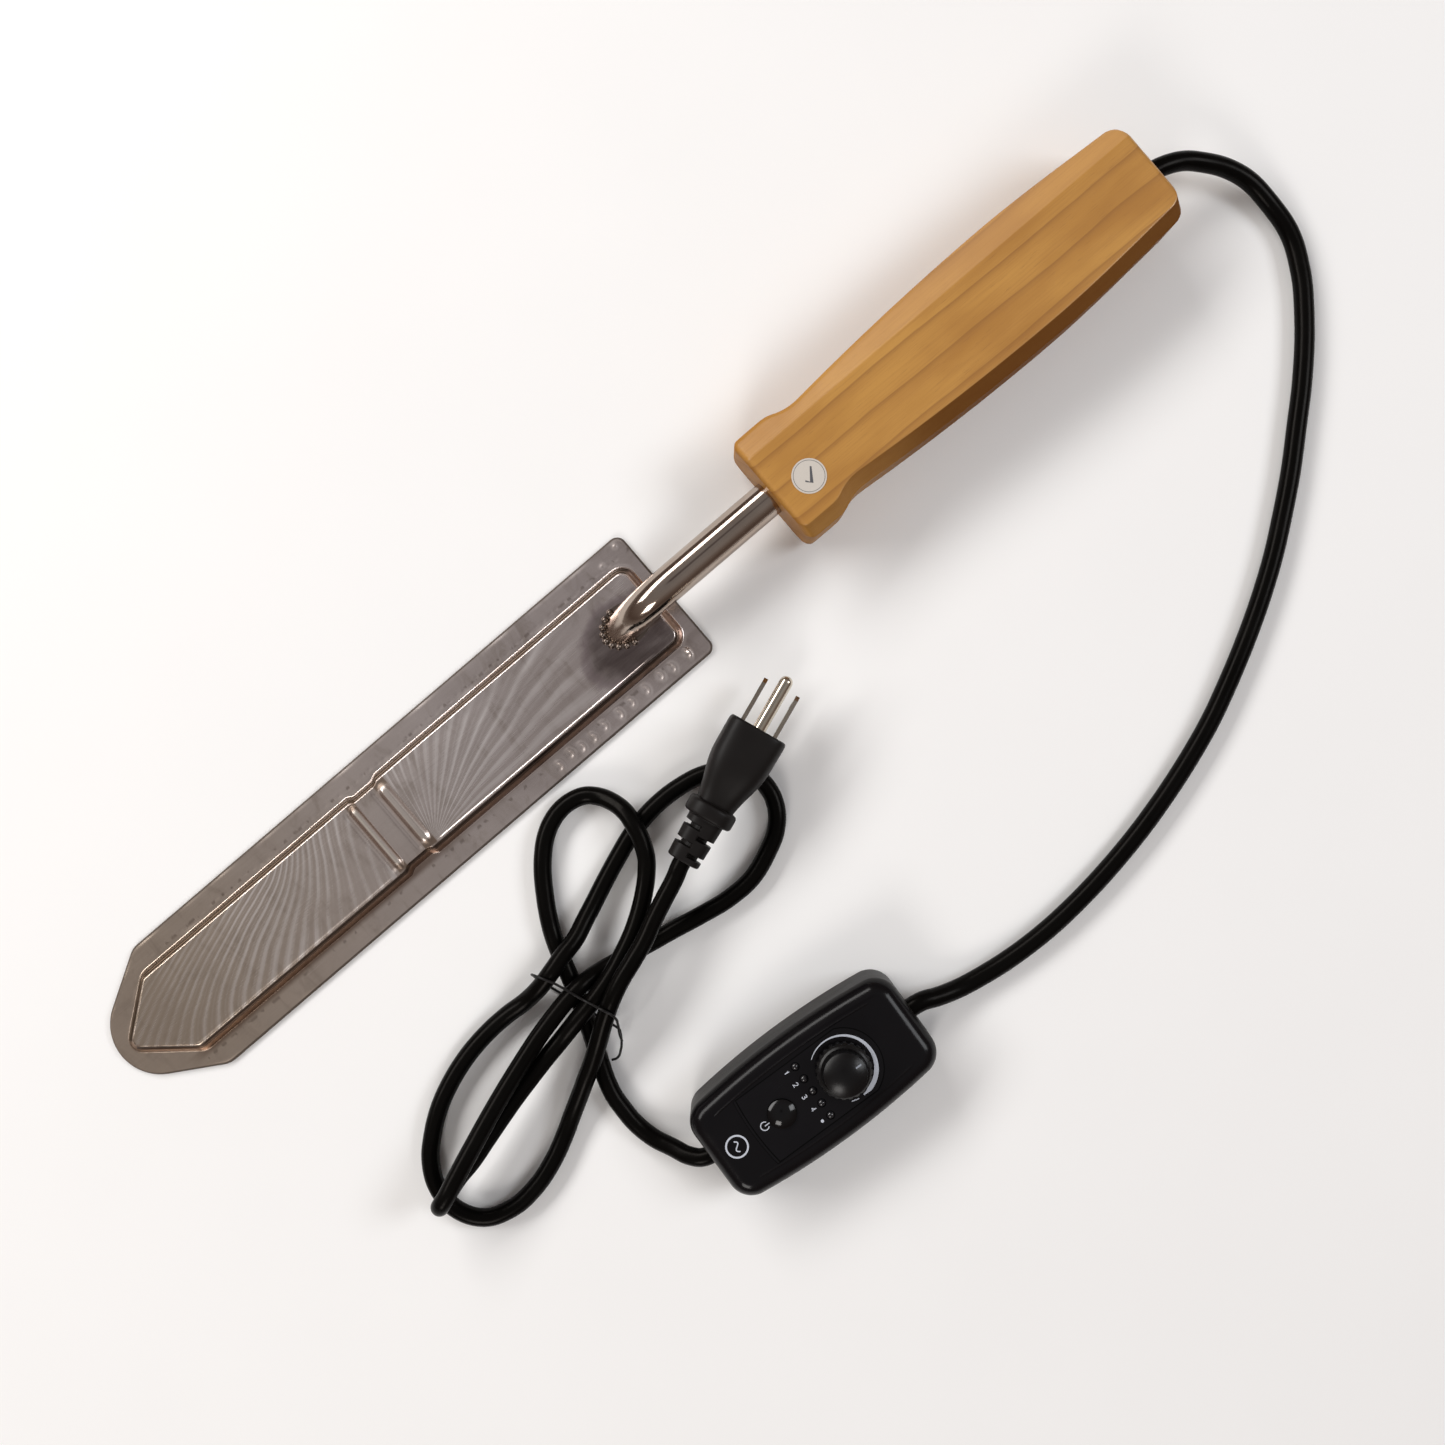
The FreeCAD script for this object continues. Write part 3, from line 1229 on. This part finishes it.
# ---------------------------------------------------------------- cords ----
# stations along each centre line: x, y, z
# from inside the handle to inside the control box's right end
HANDLE_CORD = [
    (296.00, 0.00, 18.00), (312.00, 0.00, 18.00), (330.00, 0.00, 18.00), (339.00, 0.00, 18.00),
    (347.00, 0.00, 18.00), (356.65, -2.26, 17.00), (361.21, -4.49, 15.60),
    (366.82, -9.07, 13.50), (372.83, -15.33, 10.50), (377.24, -23.04, 7.50),
    (379.19, -34.79, 4.60), (378.44, -46.32, 3.60), (372.02, -60.67, 3.60),
    (362.82, -73.34, 3.60), (346.94, -90.58, 3.60), (335.46, -101.07, 3.60),
    (323.75, -111.61, 3.60), (311.66, -121.34, 3.60), (299.13, -130.71, 3.60),
    (286.08, -139.16, 3.60), (272.42, -146.96, 3.60), (258.46, -154.07, 3.60),
    (244.22, -160.58, 3.60), (229.41, -165.90, 3.60), (214.41, -170.35, 3.60),
    (199.17, -173.99, 3.60), (183.78, -176.71, 3.60), (168.24, -178.51, 3.60),
    (152.69, -179.23, 3.60), (137.43, -178.52, 3.60), (125.31, -176.79, 3.90),
    (114.30, -174.13, 5.00), (107.49, -171.27, 7.30), (101.80, -168.36, 9.10),
    (97.53, -167.55, 9.50), (92.55, -167.18, 9.50), (86.07, -166.71, 9.50),
]
# from inside the plug, through the coil, to inside the control box's left end
POWER_CORD = [
    (99.93, -65.61, 18.50), (92.29, -68.31, 18.50), (82.86, -71.65, 18.50),
    (77.21, -73.65, 18.50), (70.42, -76.06, 18.50), (64.31, -79.03, 17.60),
    (56.99, -81.97, 17.00), (49.88, -84.98, 17.20), (43.15, -88.14, 18.20),
    (35.48, -90.86, 19.60), (28.18, -93.28, 19.40), (21.00, -96.51, 18.10),
    (13.56, -100.89, 15.20), (7.04, -105.23, 12.30), (0.08, -109.59, 10.00),
    (-5.92, -112.85, 8.20), (-11.69, -116.05, 5.90), (-17.74, -119.34, 4.20),
    (-23.85, -122.77, 3.45), (-33.65, -127.47, 3.45), (-44.30, -130.65, 3.45),
    (-55.51, -131.20, 3.45), (-65.89, -127.24, 3.45), (-71.66, -117.87, 3.45),
    (-71.45, -107.79, 3.45), (-66.75, -98.73, 3.45), (-60.88, -93.01, 3.45),
    (-52.20, -86.89, 3.45), (-42.97, -82.63, 3.45), (-32.89, -79.58, 3.45),
    (-22.19, -77.98, 3.45), (-13.06, -77.75, 3.80), (-4.70, -78.22, 5.40), (3.32, -77.53, 9.00),
    (10.62, -75.87, 11.40), (17.19, -74.11, 11.40), (23.50, -72.79, 9.40), (30.25, -69.99, 6.40),
    (37.79, -66.87, 4.20), (42.78, -64.76, 3.45), (53.07, -60.75, 3.45), (63.05, -57.42, 3.45),
    (73.98, -55.56, 3.45), (84.98, -55.80, 3.45), (95.86, -58.37, 3.45), (104.87, -64.20, 3.45),
    (109.20, -71.16, 3.45), (109.38, -78.32, 3.45), (106.47, -85.17, 3.45),
    (101.51, -90.27, 3.45), (94.77, -93.85, 3.45), (84.57, -97.27, 3.45), (73.25, -97.41, 3.45),
    (62.27, -95.50, 3.45), (50.85, -93.03, 3.45), (42.05, -91.30, 3.45), (34.94, -89.82, 3.80),
    (28.76, -88.47, 5.20), (23.38, -87.30, 6.60), (18.74, -86.53, 9.00), (13.68, -86.30, 11.40),
    (7.59, -87.01, 11.70), (-0.76, -88.67, 11.50), (-9.09, -90.67, 11.80),
    (-16.71, -92.91, 13.40), (-24.10, -95.23, 15.20), (-31.36, -97.66, 16.80),
    (-38.50, -100.21, 18.20), (-45.53, -102.87, 19.40), (-53.17, -105.80, 20.80),
    (-59.77, -108.45, 21.60), (-66.02, -110.98, 21.55), (-68.41, -111.73, 20.88),
    (-70.15, -112.28, 19.05), (-70.79, -112.49, 16.55), (-70.15, -112.28, 14.05),
    (-68.41, -111.73, 12.22), (-66.02, -110.98, 11.55), (-62.35, -109.90, 11.50),
    (-53.34, -108.20, 11.40), (-45.26, -105.97, 11.20), (-37.23, -103.76, 10.80),
    (-29.11, -101.67, 10.20), (-20.75, -99.83, 9.40), (-12.18, -98.08, 8.80),
    (-3.21, -96.50, 8.80), (6.10, -94.60, 11.20), (13.96, -93.14, 12.70), (20.91, -91.55, 13.50),
    (27.61, -89.56, 13.10), (33.79, -87.12, 12.70), (40.01, -84.33, 11.80),
    (46.29, -80.66, 10.80), (52.09, -76.51, 10.10), (57.39, -71.82, 10.00),
    (61.28, -67.28, 10.20), (63.79, -62.03, 10.40), (65.42, -56.06, 10.20),
    (65.98, -49.74, 8.60), (64.67, -44.62, 6.20), (62.07, -39.97, 4.20), (58.49, -36.53, 3.45),
    (53.85, -34.86, 3.45), (48.42, -34.66, 3.45), (43.00, -36.09, 3.45), (38.05, -38.87, 3.45),
    (33.46, -42.88, 3.45), (28.80, -48.24, 3.45), (25.34, -53.22, 3.45), (21.53, -59.31, 3.45),
    (18.25, -65.61, 3.45), (15.97, -71.68, 4.20), (13.81, -78.63, 4.50), (11.49, -85.97, 4.50),
    (8.72, -93.85, 4.50), (4.95, -103.37, 3.90), (1.26, -112.01, 3.45), (-1.36, -118.63, 3.45),
    (-2.90, -124.65, 3.45), (-3.34, -130.02, 3.45), (-3.47, -135.32, 3.45),
    (-2.83, -140.58, 3.45), (-1.35, -145.71, 4.00), (1.05, -150.34, 5.40), (5.13, -157.54, 8.40),
    (7.37, -159.72, 9.20), (11.77, -161.25, 9.50), (16.75, -161.62, 9.50),
    (23.23, -162.09, 9.50),
]
# thin tie round the coil
TIE = [
    (13.18, -110.50, 10.50), (14.55, -107.80, 13.00), (16.72, -104.76, 16.00),
    (18.09, -102.16, 19.20), (17.82, -99.23, 21.00), (16.75, -96.76, 20.90),
    (15.08, -93.89, 18.40), (13.12, -90.28, 16.00), (11.84, -86.69, 15.90),
    (10.31, -82.53, 15.40), (8.64, -78.75, 14.70), (7.01, -75.80, 14.50), (5.39, -73.38, 12.90),
    (3.87, -72.31, 8.80), (3.26, -73.32, 4.60), (3.01, -75.43, 1.40), (4.02, -79.05, 0.62),
    (5.99, -84.97, 0.55), (8.33, -92.12, 0.55), (10.68, -99.27, 0.62), (12.64, -104.22, 1.60),
    (14.06, -106.91, 5.00), (14.30, -108.21, 8.80), (12.86, -110.38, 8.20),
    (10.35, -112.87, 6.50), (6.93, -114.55, 5.00), (5.01, -114.01, 4.40),
]
register("handle_cord", feature("HandleCord", sweep(HANDLE_CORD, num.handle_cord_radius,
                                                   first=5, last=3)))
register("power_cord", feature("PowerCord", sweep(POWER_CORD, num.power_cord_radius,
                                                 first=5, last=3)))
register("cord_tie", feature("CordTie", sweep(TIE, 0.45)))

# ----------------------------------------- cores of the stripped cord ends ----
# from the jacket to the splices and the tube's end: x, y, z
HANDLE_CORES = [
    [(296.0, -1.3, 17.3), (290.0, -1.3, 17.3), (280.0, -1.6, 17.6), (268.0, -2.8, 18.0),
     (262.0, -3.0, 18.0)],
    [(296.0, 1.3, 17.3), (290.0, 1.3, 17.3), (280.0, 1.6, 17.6), (268.0, 2.8, 18.0),
     (262.0, 3.0, 18.0)],
    [(296.0, 0.0, 19.4), (288.0, 0.0, 19.8), (270.0, 0.0, 20.9), (255.0, 0.0, 21.2),
     (245.0, 0.0, 22.0), (239.0, 0.0, 23.0), (235.0, 0.0, 23.4)],
]
# y, z of each core within the jacket, about the cord's axis
CORE_OFFSETS = [(-1.3, -0.75), (0.0, 1.45), (1.3, -0.75)]
TERMINALS = [(-4.6, 8.2), (0.0, 8.2), (4.6, 8.2)]
PRONG_ENDS = [(-HALF_PITCH.value, num.prong_z), (0.0, GROUND_Z.value),
              (HALF_PITCH.value, num.prong_z)]


def cores(label, frame, routes, along):
    """Cores along the routes, leaving and arriving along the frame's x (along is +-1)."""
    end = tuple(frame.Rotation.multVec(Vector(along, 0, 0)))
    return [feature("%s%d" % (label, i),
                    sweep([frame.multVec(Vector(*p)) for p in route],
                          num.core_wire_radius, ends=(end, end)))
            for i, route in enumerate(routes)]


def fan(jacket_x, end_x, axis_z, ends):
    """Three cores leaving a jacket and spreading to their ends, each (y, z)."""
    return [[(jacket_x, y, axis_z + dz), (end_x, end_y, end_z)]
            for (y, dz), (end_y, end_z) in zip(CORE_OFFSETS, ends)]


register("handle_cord_cores", group(
    "HandleCordCores",
    cores("HandleCore", KNIFE, HANDLE_CORES, -1)
    + cores("HandleBoxCore", BOX, fan(31.5, 24.5, num.entry_z, TERMINALS), -1)))
register("power_cord_cores", group(
    "PowerCordCores",
    cores("PowerBoxCore", BOX, fan(-31.5, -24.5, num.entry_z, TERMINALS), 1)
    + cores("PlugCore", PLUG, fan(-21.9, -TAIL_LENGTH, 0.0, PRONG_ENDS), 1)))

# ------------------------------------------------------ check and export ----
doc.recompute()
for o in doc.Objects:
    if "Invalid" in o.State or "Error" in o.State:
        raise RuntimeError("object %s failed: %s" % (o.Label, o.State))
for name, o in NODES.items():
    if o.Shape.isNull() or not o.Shape.isValid() or not o.Shape.Solids:
        raise RuntimeError("sub-part %s has no valid solid" % name)
for name, o in NODES.items():
    o.Shape.exportStep("parts/%s.step" % name)
